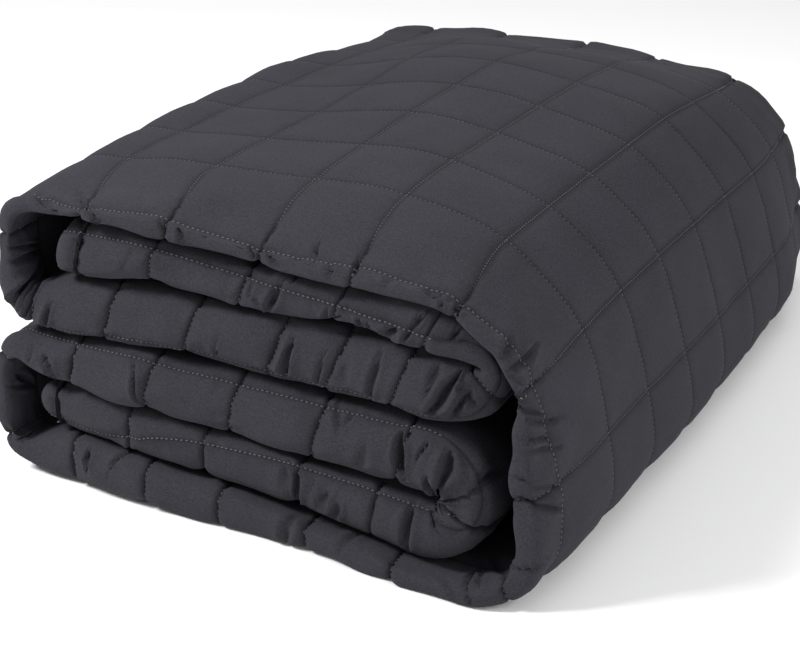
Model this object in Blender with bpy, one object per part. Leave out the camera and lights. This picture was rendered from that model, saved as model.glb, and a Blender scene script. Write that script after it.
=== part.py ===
"""A quilted weighted blanket, folded and wrapped into a block of six layers.

The blanket is one filled, quilted band.  Seen from the front, its path starts at a rounded end
inside the upper half and runs: upper end layer, upper nose, upper middle layer, upper left fold,
top layer, right wrap, bottom layer, lower left fold, lower middle layer, lower nose, lower end
layer, and a second rounded end.  X runs along the front from left to right, Y from the front
folds to the back folds, and Z up.  All sizes are in metres.
"""
import math
from collections import namedtuple

import bmesh
import bpy

# ---------------------------------------------------------------- driving dimensions
SQUARE = 0.060            # one quilted square
DEPTH = 0.504             # front fold to back fold: a third of the blanket's 1.52 m
LAYER_GAP = 0.0013        # air between two layers that lie on each other
FRONT_SEAM = 0.0228       # first cross seam, measured from the front fold
CROSS_SEAMS = 8           # cross seams from front to back, one square apart
ROUNDNESS = 1.00          # depth of a front or back fold in its own half thicknesses
LEAST_ROUND = 0.0045      # least depth of such a fold
CORNERS = 0.74            # 1 makes such a fold elliptical, and less makes it squarer
SEAM_SINK = 0.0030        # how far a seam lies below the crown of its squares
LEAST_SHARE = 0.4         # share of the thickness that a seam leaves at the least
FOLD_NOTCH = 0.0028       # how far a seam pulls a front fold inwards
END_ROUND = 0.014         # how far the corners of the free ends are rounded off
FLAT_SNAP = 0.0040        # cloth this close to the surface is pressed flat on it
SECTION_STEP = 0.020      # spacing of the sections along straight stretches: three a square
SECTION_TURN = 40.0       # degrees of turn that count as much as one such step
PATH_STEP = 0.004         # spacing of the points on the smoothed path
SMOOTHING = 6             # rounds of smoothing where layers run into folds
FOLD_POINTS = 14          # points round a half turn
CURVE_POINTS = 8          # points between two knots of the right wrap
WRAP_LEAD = SQUARE / 3    # distance between the wrap and the flat runs that it joins
FRONT_SLIDE = 2 * SQUARE  # depth in which the layers' different fronts even out
NOTCH_REACH = SQUARE / 2  # depth of the notch that a seam makes in a front fold
ROUND_ANGLES = (38.0, 70.0)      # degrees, for the rows that round the front and back folds
END_ANGLES = (25.0, 50.0, 78.0)  # degrees, for the rings that round a free end

# How the pinched thickness comes back: it has begun at the first cross seam, and a share of the
# fullness is left at the back folds.
PINCH_BEGUN = 0.05
BACK_FULLNESS = 0.10
BACK_PINCH_REACH = 1.8 * SQUARE

# Where the thicknesses of the layers are given, along X.
STATIONS = (-0.121, -0.001, 0.107)

# Layers from the bottom to the top.  Thickness at the three stations, how far the front fold
# lies in front of the middle of the block at its left and right ends, how much of the thickness
# is left at the first cross seam at the three stations, and where the long seams lie.
Layer = namedtuple("Layer", "name thick front_left front_right pinch seams")
LAYERS = (
    Layer("bottom", (0.0300, 0.0200, 0.0090), 0.247, 0.267, (1.00, 1.00, 1.00),
          (-0.1266, -0.0744, -0.0252, 0.0282, 0.0840, 0.1560)),
    Layer("lower_end", (0.0295, 0.0310, 0.0330), 0.243, 0.258, (1.00, 1.00, 1.00),
          (-0.1420, -0.0876, -0.0378, 0.0204, 0.0690)),
    Layer("lower_middle", (0.0290, 0.0380, 0.0400), 0.247, 0.254, (1.00, 1.00, 1.00),
          (-0.1224, -0.0714, -0.0198, 0.0336, 0.0858)),
    Layer("upper_middle", (0.0345, 0.0395, 0.0390), 0.246, 0.252, (1.00, 1.00, 1.00),
          (-0.0960, -0.0468, 0.0054, 0.0440, 0.0828)),
    Layer("upper_end", (0.0340, 0.0285, 0.0250), 0.244, 0.248, (1.00, 1.00, 1.00),
          (-0.1134, -0.0654, -0.0108, 0.0438, 0.1000)),
    Layer("top", (0.0115, 0.0225, 0.0160), 0.246, 0.250, (0.60, 0.30, 0.42),
          (-0.1250, -0.0636, -0.0054, 0.0522, 0.1098)),
)

# Turns of the band.  The extreme of its middle line, half its thickness there, where the layers
# run into it, its front fold, the share of thickness left at the first cross seam, and how full
# it is: 1 turns on an ellipse, and less is fuller at the corners.
Fold = namedtuple("Fold", "name apex_x apex_z half meets_x front pinch fullness")
UPPER_NOSE = Fold("upper_nose", 0.1205, 0.1190, 0.0115, 0.0945, 0.244, 1.00, 1.00)
LOWER_NOSE = Fold("lower_nose", 0.1230, 0.0480, 0.0165, 0.1060, 0.252, 1.00, 1.00)
UPPER_LEFT = Fold("upper_left", -0.1645, 0.1370, 0.0058, -0.1300, 0.245, 0.90, 0.52)
LOWER_LEFT = Fold("lower_left", -0.1755, 0.0460, 0.0058, -0.1400, 0.247, 0.90, 0.50)

# The right wrap, from the top layer down to the bottom layer.
Turn = namedtuple("Turn", "x z half front pinch")
RIGHT_WRAP = (
    Turn(0.1142, 0.1575, 0.0076, 0.2500, 0.50),
    Turn(0.1490, 0.1218, 0.0080, 0.2520, 0.53),
    Turn(0.1604, 0.0680, 0.0126, 0.2560, 0.58),
    Turn(0.1655, 0.0260, 0.0120, 0.2600, 0.60),
    Turn(0.1560, 0.0102, 0.0100, 0.2660, 0.75),
)

# Free ends of the band: tip of the rounded end.
UPPER_END_X = -0.1310
LOWER_END_X = -0.1530

COLOUR = (0.0420, 0.0437, 0.0500, 1.0)
ROUGHNESS = 0.92

# Slow unevenness of the whole stack: how much higher, further forward and further right it is.
Warp = namedtuple("Warp", "axis amount along_x along_y phase")
WARPS = (
    Warp("z", 0.012, 23.0, 9.0, 0.4),
    Warp("z", 0.008, 41.0, 17.0, 2.1),
    Warp("y", 0.0022, 31.0, 0.0, 1.3),
    Warp("x", 0.0020, 0.0, 12.0, 0.2),
)
BACK_DROP = 0.108         # share of the height lost at the back folds
BACK_DROP_FROM = 0.30     # distance behind the front fold where that begins
RIGHT_DROP = 0.65         # share of the drop that is left at the right side
RIGHT_FROM = 0.15         # distance over which this comes, from the middle to the right
RIGHT_BULGE = 0.007       # how far the right side stands out behind its front, near the floor
BULGE_HEIGHT = 0.12       # height at which nothing of this bulge is left
BULGE_FROM = 0.06         # distance behind the front fold where it begins
BULGE_GROWTH = 0.20       # distance over which it grows
BULGE_END = 0.10          # distance over which it ends at the back
WARP_HEIGHT = 0.10        # height at which the stack leans to the right by the warp's amount

Point = namedtuple("Point", "x z half front pinch")


# ---------------------------------------------------------------- the path of the band
def smooth_step(value):
    """0 below 0, 1 above 1, and a soft S in between."""
    value = min(max(value, 0.0), 1.0)
    return value * value * (3.0 - 2.0 * value)


def through_stations(values, x):
    """The parabola through three values at STATIONS, held level outside them."""
    left, middle, right = STATIONS
    x = min(max(x, left), right)
    return (
        values[0] * (x - middle) * (x - right) / ((left - middle) * (left - right))
        + values[1] * (x - left) * (x - right) / ((middle - left) * (middle - right))
        + values[2] * (x - left) * (x - middle) / ((right - left) * (right - middle))
    )


def layer_point(index, x):
    """Middle line of a layer at x, stacked on the layers below it."""
    height = 0.0
    for layer in LAYERS[:index]:
        height += through_stations(layer.thick, x) + LAYER_GAP
    layer = LAYERS[index]
    half = through_stations(layer.thick, x) / 2
    share = (x - STATIONS[0]) / (STATIONS[2] - STATIONS[0])
    front = layer.front_left + (layer.front_right - layer.front_left) * share
    return Point(x, height + half, half, front, through_stations(layer.pinch, x))


def layer_run(index, start, end):
    """A layer from x = start to x = end."""
    count = max(2, round(abs(end - start) / PATH_STEP))
    return [layer_point(index, start + (end - start) * i / count) for i in range(count + 1)]


def fold_turn(fold, first, last):
    """A full half turn from the last point of one layer to the first point of the next."""
    points = []
    reach = fold.apex_x - fold.meets_x
    for i in range(1, FOLD_POINTS):
        angle = math.pi * i / FOLD_POINTS
        side = first if angle < math.pi / 2 else last
        share = math.sin(angle) ** fold.fullness
        half = fold.half * share + side.half * (1 - share)
        front = fold.front * share + side.front * (1 - share)
        pinch = fold.pinch * share + side.pinch * (1 - share)
        rise = side.z - fold.apex_z + math.copysign(side.half - half, side.z - fold.apex_z)
        z = fold.apex_z + rise * abs(math.cos(angle)) ** fold.fullness
        points.append(Point(fold.meets_x + reach * share, z, half, front, pinch))
    return points


def curve_through(knots):
    """A Catmull-Rom curve through the knots, end knots included."""
    points = []
    for i in range(1, len(knots) - 2):
        before, start, end, after = knots[i - 1:i + 3]
        for step in range(CURVE_POINTS):
            t = step / CURVE_POINTS
            values = [
                0.5 * (2 * b + (c - a) * t + (2 * a - 5 * b + 4 * c - d) * t ** 2
                       + (3 * b - a - 3 * c + d) * t ** 3)
                for a, b, c, d in zip(before, start, end, after)
            ]
            points.append(Point(*values))
    return points


def band_path():
    """Points on the middle line of the band, from its upper end to its lower end."""
    bottom, lower_end, lower_middle, upper_middle, upper_end, top = range(6)
    upper_end_half = layer_point(upper_end, UPPER_END_X).half
    lower_end_half = layer_point(lower_end, LOWER_END_X).half
    path = layer_run(upper_end, UPPER_END_X + upper_end_half, UPPER_NOSE.meets_x)
    path += fold_turn(UPPER_NOSE, path[-1], layer_point(upper_middle, UPPER_NOSE.meets_x))
    path += layer_run(upper_middle, UPPER_NOSE.meets_x, UPPER_LEFT.meets_x)
    path += fold_turn(UPPER_LEFT, path[-1], layer_point(top, UPPER_LEFT.meets_x))
    top_end = RIGHT_WRAP[0].x - WRAP_LEAD
    bottom_start = RIGHT_WRAP[-1].x - WRAP_LEAD
    path += layer_run(top, UPPER_LEFT.meets_x, top_end)
    knots = [layer_point(top, top_end - WRAP_LEAD), path[-1]]
    knots += [Point(*turn) for turn in RIGHT_WRAP]
    knots += [layer_point(bottom, bottom_start), layer_point(bottom, bottom_start - WRAP_LEAD)]
    path += curve_through(knots)[1:]
    path += layer_run(bottom, bottom_start, LOWER_LEFT.meets_x)
    path += fold_turn(LOWER_LEFT, path[-1], layer_point(lower_middle, LOWER_LEFT.meets_x))
    path += layer_run(lower_middle, LOWER_LEFT.meets_x, LOWER_NOSE.meets_x)
    path += fold_turn(LOWER_NOSE, path[-1], layer_point(lower_end, LOWER_NOSE.meets_x))
    path += layer_run(lower_end, LOWER_NOSE.meets_x, LOWER_END_X + lower_end_half)
    return path


def even_path(points, step):
    """The same path with points at an even spacing."""
    length = path_length(points)
    count = round(length[-1] / step)
    return [point_at(points, length, length[-1] * i / count) for i in range(count + 1)]


def path_length(points):
    """Distance along the path at each of its points."""
    length = [0.0]
    for a, b in zip(points, points[1:]):
        length.append(length[-1] + math.hypot(b.x - a.x, b.z - a.z))
    return length


def point_at(points, length, distance):
    """The point that lies this far along the path."""
    low, high = 0, len(points) - 1
    while high - low > 1:
        middle = (low + high) // 2
        if length[middle] <= distance:
            low = middle
        else:
            high = middle
    share = (distance - length[low]) / max(length[high] - length[low], 1e-9)
    return Point(*[a + (b - a) * share for a, b in zip(points[low], points[high])])


def smoothed(points):
    """The path with each kink eased between its neighbours."""
    inner = [
        Point(*[(a + 2 * b + c) / 4 for a, b, c in zip(before, here, after)])
        for before, here, after in zip(points, points[1:], points[2:])
    ]
    return [points[0]] + inner + [points[-1]]


# ---------------------------------------------------------------- seams and sections
def seam_distances(points, length):
    """Where the long seams cross the path: those of the table, and evenly spaced ones in turns."""
    anchored = []
    for layer_index, layer in enumerate(LAYERS):
        for x in layer.seams:
            target = layer_point(layer_index, x)
            near = min(range(len(points)),
                       key=lambda i: math.hypot(points[i].x - target.x, points[i].z - target.z))
            anchored.append(length[near])
    anchored.sort()
    seams = [anchored[0]]
    for distance in anchored[1:]:
        squares = max(1, round((distance - seams[-1]) / (SQUARE * 0.98)))
        start = seams[-1]
        seams += [start + (distance - start) * i / squares for i in range(1, squares + 1)]
    return seams


def section_effort(points):
    """Distance and turn along the path, counted in sections, at each of its points."""
    effort = [0.0]
    heading = math.atan2(points[1].z - points[0].z, points[1].x - points[0].x)
    for a, b in zip(points, points[1:]):
        ahead = math.atan2(b.z - a.z, b.x - a.x)
        turn = abs((ahead - heading + math.pi) % (2 * math.pi) - math.pi)
        run = math.hypot(b.x - a.x, b.z - a.z)
        effort.append(effort[-1] + run / SECTION_STEP + math.degrees(turn) / SECTION_TURN)
        heading = ahead
    return effort


def between(values, results, value):
    """The result that belongs to a value between two neighbours of a rising list."""
    high = 1
    while high < len(values) - 1 and values[high] < value:
        high += 1
    share = (value - values[high - 1]) / max(values[high] - values[high - 1], 1e-9)
    return results[high - 1] + (results[high] - results[high - 1]) * min(max(share, 0.0), 1.0)


def section_distances(points, length):
    """(distance, sink) of each section: 1 on a seam and 0 on the crown of a square."""
    effort = section_effort(points)
    stops = [0.0] + seam_distances(points, length) + [length[-1]]
    sections = []
    for index, (start, end) in enumerate(zip(stops, stops[1:])):
        first = between(length, effort, start)
        last = between(length, effort, end)
        steps = max(1, round(last - first))
        for i in range(steps):
            distance = between(effort, length, first + (last - first) * i / steps)
            sections.append((distance, 1.0 if i == 0 and index else 0.0))
    sections.append((length[-1], 0.0))
    return sections


def fold_rows(half):
    """(depth, share of the half thickness) of the rows that round a fold of this thickness."""
    depth = max(ROUNDNESS * half, LEAST_ROUND)
    turns = [math.radians(angle) for angle in ROUND_ANGLES]
    return [(depth * (1 - math.cos(turn) ** CORNERS), math.sin(turn) ** CORNERS) for turn in turns]


def depth_rows(front_half, back_half):
    """(distance behind the front fold, share of the half thickness, sink) from seam to back."""
    rows = [(depth, share, 0.0) for depth, share in fold_rows(front_half)]
    for seam in range(CROSS_SEAMS):
        rows.append((FRONT_SEAM + seam * SQUARE, 1.0, 1.0))
        if seam < CROSS_SEAMS - 1:
            rows.append((FRONT_SEAM + (seam + 0.5) * SQUARE, 1.0, 0.0))
    back = [(DEPTH - depth, share, 0.0) for depth, share in reversed(fold_rows(back_half))]
    rows.append(((rows[-1][0] + back[0][0]) / 2, 1.0, 0.0))
    return rows + back


def front_pinch(pinch, behind):
    """Share of the thickness left this far behind the front fold."""
    front = smooth_step((behind - FRONT_SEAM) / SQUARE + PINCH_BEGUN)
    back = smooth_step((DEPTH - behind) / BACK_PINCH_REACH)
    back = BACK_FULLNESS + (1 - BACK_FULLNESS) * back
    return pinch + (1 - pinch) * front * back


def warped(x, y, z):
    """The slow unevenness of the stack; the surface below stays level."""
    moved = {"x": 0.0, "y": 0.0, "z": 0.0}
    for warp in WARPS:
        moved[warp.axis] += warp.amount * math.sin(warp.along_x * x + warp.along_y * y + warp.phase)
    behind = y + DEPTH / 2
    drop = BACK_DROP * smooth_step((behind - BACK_DROP_FROM) / (DEPTH - BACK_DROP_FROM))
    height = 1 + moved["z"] - drop * (1 - (1 - RIGHT_DROP) * smooth_step(x / RIGHT_FROM))
    low = 1 - smooth_step(z / BULGE_HEIGHT)
    begun = smooth_step((behind - BULGE_FROM) / BULGE_GROWTH)
    ended = smooth_step((DEPTH - behind) / BULGE_END)
    at_side = smooth_step((x - 0.7 * RIGHT_FROM) / (0.3 * RIGHT_FROM))
    right = moved["x"] * z / WARP_HEIGHT + RIGHT_BULGE * at_side * begun * ended * low
    return x + right, y + moved["y"], z * height


def section_ring(here, across, sink, scale):
    """One closed ring round the band: front fold, outer face, back fold, inner face."""
    def place(behind, offset):
        forward = here.front - DEPTH / 2
        slide = forward * (1 - smooth_step(behind / FRONT_SLIDE))
        fade = 1 - smooth_step(behind / NOTCH_REACH)
        y = behind - DEPTH / 2 - slide + sink * FOLD_NOTCH * fade
        level = here.half * (1 - front_pinch(here.pinch, behind)) * scale
        x = here.x + across[0] * (offset - level)
        z = here.z + across[1] * (offset - level)
        if z < FLAT_SNAP:
            z = 0.0
        return warped(x, y, z)

    def thickness(behind, share, row_sink):
        full = here.half * front_pinch(here.pinch, behind) * scale * share
        dip = max(sink, row_sink) * SEAM_SINK * share
        return max(full - dip, full * LEAST_SHARE)

    halves = [here.half * front_pinch(here.pinch, behind) * scale for behind in (0.0, DEPTH)]
    rows = depth_rows(*halves)
    outer = [place(behind, thickness(behind, share, dip)) for behind, share, dip in rows]
    inner = [place(behind, -thickness(behind, share, dip)) for behind, share, dip in rows]
    return [place(0.0, 0.0)] + outer + [place(DEPTH, 0.0)] + inner[::-1]


def band_sections():
    """Rings of the whole band, with a rounded end at each free end."""
    points = even_path(band_path(), PATH_STEP)
    for _ in range(SMOOTHING):
        points = smoothed(points)
    length = path_length(points)
    rings = []
    sections = section_distances(points, length)
    reach = 0.75 * PATH_STEP
    for distance, sink in sections:
        here = point_at(points, length, distance)
        before = point_at(points, length, max(distance - reach, 0.0))
        after = point_at(points, length, min(distance + reach, length[-1]))
        run = math.hypot(after.x - before.x, after.z - before.z)
        across = (-(after.z - before.z) / run, (after.x - before.x) / run)
        rings.append((here, across, sink))
    start, end = rings[0], rings[-1]
    closed = []
    for angle in reversed(END_ANGLES):
        closed.append(end_ring(start, -1.0, math.radians(angle)))
    closed += [section_ring(here, across, sink, 1.0) for here, across, sink in rings]
    for angle in END_ANGLES:
        closed.append(end_ring(end, 1.0, math.radians(angle)))
    return closed


def end_ring(section, direction, angle):
    """A ring of a rounded free end, smaller and further out with the angle."""
    here, across, _ = section
    along = (across[1] * direction, -across[0] * direction)
    out = here.half * math.sin(angle)
    front = here.front - END_ROUND * (1 - math.cos(angle))
    moved = here._replace(x=here.x + along[0] * out, z=here.z + along[1] * out, front=front)
    return section_ring(moved, across, 0.0, math.cos(angle))


# ---------------------------------------------------------------- the solid
def fabric_material():
    """Matt woven cloth."""
    material = bpy.data.materials.new("charcoal_cloth")
    material.use_nodes = True
    shader = material.node_tree.nodes["Principled BSDF"]
    shader.inputs["Base Color"].default_value = COLOUR
    shader.inputs["Roughness"].default_value = ROUGHNESS
    shader.inputs["Metallic"].default_value = 0.0
    return material


def cap(mesh, ring):
    """Close a free end with faces between its outer and inner rows."""
    count = len(ring)
    half = count // 2
    mesh.faces.new((ring[0], ring[1], ring[count - 1]))
    for i in range(1, half - 1):
        mesh.faces.new((ring[i], ring[i + 1], ring[count - i - 1], ring[count - i]))
    mesh.faces.new((ring[half - 1], ring[half], ring[half + 1]))


def build_blanket():
    """The whole folded blanket as one closed solid."""
    sections = band_sections()
    xs = [point[0] for ring in sections for point in ring]
    ys = [point[1] for ring in sections for point in ring]
    middle_x = (min(xs) + max(xs)) / 2
    middle_y = (min(ys) + max(ys)) / 2
    mesh = bmesh.new()
    rings = [[mesh.verts.new((x - middle_x, y - middle_y, z)) for x, y, z in ring]
             for ring in sections]
    for near, far in zip(rings, rings[1:]):
        for i, vertex in enumerate(near):
            after = (i + 1) % len(near)
            mesh.faces.new((vertex, near[after], far[after], far[i]))
    cap(mesh, rings[0])
    cap(mesh, rings[-1])
    bmesh.ops.recalc_face_normals(mesh, faces=mesh.faces)
    data = bpy.data.meshes.new("blanket")
    mesh.to_mesh(data)
    mesh.free()
    data.shade_smooth()
    blanket = bpy.data.objects.new("blanket", data)
    blanket.data.materials.append(fabric_material())
    bpy.context.scene.collection.objects.link(blanket)
    return blanket


def main():
    """Clear the scene and build the blanket."""
    for item in list(bpy.data.objects):
        bpy.data.objects.remove(item, do_unlink=True)
    build_blanket()


main()
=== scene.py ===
"""Looks of a quilted weighted blanket, folded and wrapped into a block of six layers.

The cloth is one finely meshed band on the same path as the solid, with its quilting, puckers and
creases as real relief, and its stitches as small raised threads.  X runs along the front from left
to right, Y from the front folds to the back folds, and Z up.  All sizes are in metres.
"""

import math
from collections import namedtuple

import bpy
import numpy as np
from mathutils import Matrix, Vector


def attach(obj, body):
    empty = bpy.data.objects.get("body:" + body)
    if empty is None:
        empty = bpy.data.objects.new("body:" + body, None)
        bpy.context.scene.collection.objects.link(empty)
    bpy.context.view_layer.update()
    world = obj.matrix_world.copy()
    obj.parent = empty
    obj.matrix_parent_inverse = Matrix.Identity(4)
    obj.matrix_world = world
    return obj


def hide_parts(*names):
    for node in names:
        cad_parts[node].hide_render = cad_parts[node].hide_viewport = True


# -------- the folded band
SQUARE = 0.060  # one quilted square
TURN_SQUARE = 0.98 * SQUARE  # about the length of one on the middle line in the turns
DEPTH = 0.504  # front fold to back fold
LAYER_GAP = 0.0013  # air between two layers that lie on each other
FRONT_SEAM = 0.0228  # first cross seam, measured from the front fold
CROSS_SEAMS = 8  # cross seams from front to back, one square apart
ROUND_DEPTH = 0.018  # depth of the rounded front and back folds
END_ROUND = 0.007  # how far the corners of the free ends are rounded off
PATH_STEP = 0.004  # spacing of the points on the smoothed path
ACROSS_REACH = 0.75 * PATH_STEP  # its direction is taken between points this far to either side
SMOOTHING = 6  # rounds of smoothing, for where layers run into folds
FOLD_POINTS = 14  # points round a half turn
CURVE_POINTS = 8  # points between two knots of the right wrap
WRAP_LEAD = SQUARE / 3  # distance between the wrap and the flat runs that it joins
FRONT_SLIDE = 2 * SQUARE  # depth in which the layers' different fronts even out
PINCH_REACH = 1.38 * SQUARE  # depth in which the pinched thickness of a front fold comes back
BACK_FULLNESS = 0.10  # share of the pinched thickness that is back at the back folds
BACK_PINCH_REACH = 1.8 * SQUARE
BACK_EVENING = SQUARE / 2  # depth behind the last cross seam in which thin back folds even out
STATIONS = (-0.121, -0.001, 0.107)  # where the layers' thicknesses are given, along X
MIDDLE = (0.0007989, -0.0081720)  # middle of the block, in X and Y of the tables below

# front_left, front_right: how far the front fold lies in front of the middle.  stitch: how far over
# the cloth the first cross seam lies from the front fold; it lies on the inner face where this is
# negative.  seams: where the long seams cross the layer, along X.  lean: how far the front fold's
# upper half lies to the right.  pinch: the share of the thickness that is left at the front fold.
Layer = namedtuple(
    "Layer", "name thick front_left front_right stitch seams lean pinch",
    defaults=(0.0, (1.0, 1.0, 1.0)),
)
LAYERS = (
    Layer("bottom", (0.0300, 0.0200, 0.0090), 0.247, 0.267, (0.026, 0.026, 0.026),
          (-0.1266, -0.0744, -0.0252, 0.0282, 0.0840, 0.1560)),
    Layer("lower_end", (0.0295, 0.0310, 0.0330), 0.243, 0.258, (0.009, -0.011, -0.020),
          (-0.1420, -0.0876, -0.0378, 0.0204, 0.0690)),
    Layer("lower_middle", (0.0290, 0.0380, 0.0400), 0.247, 0.254, (0.0150, 0.0155, 0.0240),
          (-0.1224, -0.0714, -0.0198, 0.0336, 0.0858), 0.003),
    Layer("upper_middle", (0.0345, 0.0395, 0.0390), 0.244, 0.250, (0.0145, 0.0145, 0.0150),
          (-0.0960, -0.0468, 0.0054, 0.0440, 0.0828), 0.006),
    Layer("upper_end", (0.0340, 0.0265, 0.0265), 0.244, 0.248, (0.011, 0.003, -0.002),
          (-0.1134, -0.0654, -0.0108, 0.0438, 0.1000), 0.004),
    Layer("top", (0.0115, 0.0250, 0.0165), 0.247, 0.252, (0.010, 0.009, 0.009),
          (-0.1250, -0.0636, -0.0054, 0.0522, 0.1098), 0.000, (0.60, 0.38, 0.44)),
)
BOTTOM, LOWER_END, LOWER_MIDDLE, UPPER_MIDDLE, UPPER_END, TOP = range(len(LAYERS))

# apex: where the middle line turns back, and meets_x: where the turn meets its two layers.
# fullness: 1 makes the turn elliptical, and less makes it squarer.  open: 1 keeps the outer face
# level while the cloth thins towards the fold, which leaves a hollow inside, and -1 keeps the inner
# faces together.  keep_in, keep_out: how long the cloth keeps its thickness on the way into the
# fold and out of it; 1 thins it evenly.
Fold = namedtuple(
    "Fold", "apex_x apex_z half meets_x front pinch fullness stitch open keep_in keep_out",
    defaults=(1.0, 1.0),
)
UPPER_NOSE = Fold(0.1372, 0.1225, 0.0032, 0.1060, 0.244, 1.0, 0.60, 0.006, -1, 1.5, 5.0)
LOWER_NOSE = Fold(0.1230, 0.0480, 0.0165, 0.1060, 0.252, 1.0, 1.00, 0.010, 1)
UPPER_LEFT = Fold(-0.1645, 0.1370, 0.0058, -0.1300, 0.245, 0.9, 0.52, 0.016, 1)
LOWER_LEFT = Fold(-0.1755, 0.0460, 0.0058, -0.1400, 0.247, 0.9, 0.50, 0.016, 1)

# A point on the middle line, with half the cloth's thickness there.
Point = namedtuple("Point", "x z half front pinch stitch lean")
RIGHT_WRAP = (
    Point(0.1146, 0.1580, 0.0070, 0.2530, 0.42, 0.010, 0.0),
    Point(0.1494, 0.1220, 0.0074, 0.2530, 0.45, 0.017, 0.0),
    Point(0.1604, 0.0680, 0.0126, 0.2560, 0.58, 0.026, 0.0),
    Point(0.1655, 0.0260, 0.0120, 0.2600, 0.60, 0.026, 0.0),
    Point(0.1560, 0.0102, 0.0100, 0.2660, 0.75, 0.026, 0.0),
)
# How far the top's front edge is pulled along the cloth to the right, and outwards.
Pull = namedtuple("Pull", "x z right out")
FRONT_PULLS = (
    Pull(-0.1600, 0.1500, 0.000, 0.000),
    Pull(-0.1250, 0.1650, 0.014, 0.000),
    Pull(-0.0640, 0.1700, 0.010, 0.000),
    Pull(-0.0050, 0.1720, 0.005, 0.000),
    Pull(0.0520, 0.1710, 0.006, 0.000),
    Pull(0.1000, 0.1650, 0.009, 0.001),
    Pull(0.1340, 0.1440, 0.008, 0.006),
    Pull(0.1530, 0.1150, 0.002, 0.003),
    Pull(0.1600, 0.0700, 0.000, 0.000),
)
PULL_DEPTH = 0.078  # depth in which these pulls end

UPPER_END_X = -0.1310  # left ends of the layers upper_end and lower_end
LOWER_END_X = -0.1530

# Slow waves of the whole stack: a share of the height for z, and a shift for x and y.
Warp = namedtuple("Warp", "axis amount along_x along_y phase")
WARPS = (
    Warp("z", 0.012, 23.0, 9.0, 0.4),
    Warp("z", 0.008, 41.0, 17.0, 2.1),
    Warp("y", 0.0022, 31.0, 0.0, 1.3),
    Warp("x", 0.0020, 0.0, 12.0, 0.2),
)
WARP_HEIGHT = 0.10  # height at which the waves in x come in full
BACK_DROP = 0.108  # share of the height that is lost towards the back
BACK_DROP_FROM = 0.30  # distance behind the front fold where this begins
RIGHT_DROP = 0.65  # share of the drop that is left at the right side
RIGHT_FROM = 0.15  # distance over which this comes, from the middle to the right
RIGHT_BULGE = 0.007  # how far the right side stands out behind its front, near the floor
BULGE_SIDE = 0.7  # share of RIGHT_FROM from which this counts as the right side
BULGE_HEIGHT = 0.12  # height at which nothing of this bulge is left
BULGE_FROM = 0.06  # distance behind the front fold where it begins
BULGE_GROWTH = 0.20  # distance over which it grows
BULGE_END = 0.10  # distance over which it ends at the back
LEAN_DEPTH = 0.050  # depth behind the front in which the leaning folds straighten
LEAN_BACK = 0.6  # a leaning fold's upper half also lies this share further back

# -------- the mesh
FINE_STEP = 0.00140  # spacing of the fine sections along the band
BLOCK = 8  # sections between two seams come in blocks of this many
COARSE = 4  # away from the front folds, faces take this many sections
COARSE_ROWS = 6  # and this many rows where nothing shows
CROWDING = 0.45  # how strongly sections crowd towards the seams
END_RINGS = 8  # rings that round a free end
LAST_RING = 88.0  # degrees round a free end at which the last ring closes it
END_CORNERS = 0.75  # 1 makes a free end elliptical, and less makes it squarer
LEAST_ROUND = 0.0045  # least depth of a fold
CORNERS = 0.74  # 1 makes a fold elliptical, and less makes it squarer
FRONT_ANGLES = range(8, 90, 8)  # degrees, rows that round the front folds
BACK_ANGLES = range(14, 90, 14)  # and the back folds
FOLD_RADIUS = 0.0165  # mean radius of those rows, for distances over the cloth
FRONT_ZONE = 0.046  # rows this close behind the front fold take every section
HIDDEN_ZONE = 0.025  # the same on inner faces that show nothing but their front folds
BACK_ZONE = 0.466  # rows beyond this one belong to the back folds
FACE_IN_MAP = 0.49  # height of each face in the square map that looks are baked on

# Rows, as distances behind the front fold, close together at the seams.  SQUARE_ROWS are shares of
# a square, and the sparse rows of hidden faces lie half a square apart.
FRONT_ROWS = (
    0.018, 0.0202, 0.0217, 0.0228, 0.0239, 0.0256, 0.028, 0.031, 0.0345, 0.038, 0.042, FRONT_ZONE
)
SECOND_ROWS = (0.051, 0.057, 0.063, 0.069, 0.0745, 0.0785, 0.0813, 0.0828)
SQUARE_ROWS = (0.02, 0.05, 0.11, 0.20, 0.33, 0.50, 0.67, 0.80, 0.89, 0.95, 0.98, 1.00)
LAST_ROWS = (0.444, 0.4462, 0.4496, 0.4545, 0.460)
BACK_ROWS = (BACK_ZONE, 0.470, 0.474, 0.478, 0.482, 0.486)
FIRST_SPARSE_ROW = 0.060
SPARSE_ROWS = range(2, 15)

QUARTER = FOLD_RADIUS * math.pi / 2  # from the front fold to where the cloth is flat
OVER_ALL = 2 * QUARTER + DEPTH - 2 * ROUND_DEPTH  # from the front fold to the back fold
FIRST_SEAM = QUARTER + FRONT_SEAM - ROUND_DEPTH  # first cross seam, over the cloth of a thick layer

# -------- the quilting
Quilting = namedtuple("Quilting", "groove groove_width dome dome_width")
TOP_QUILTING = Quilting(0.0008, 0.0018, 0.0011, 0.0130)
FRONT_QUILTING = Quilting(0.0027, 0.0013, 0.0009, 0.0100)
DOME_POWER = 1.6  # how flat the middle of a square is
CROSSING = 0.25  # share of the shallower seam that is added where two seams cross
CROSS_LINES = FIRST_SEAM + SQUARE * np.arange(CROSS_SEAMS)  # cross seams, over the cloth
FOLD_END = 0.014  # distance from a front or back fold in which the cloth is all fold
FOLD_FADE = 0.030  # and the distance over which it turns into a taut face

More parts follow.
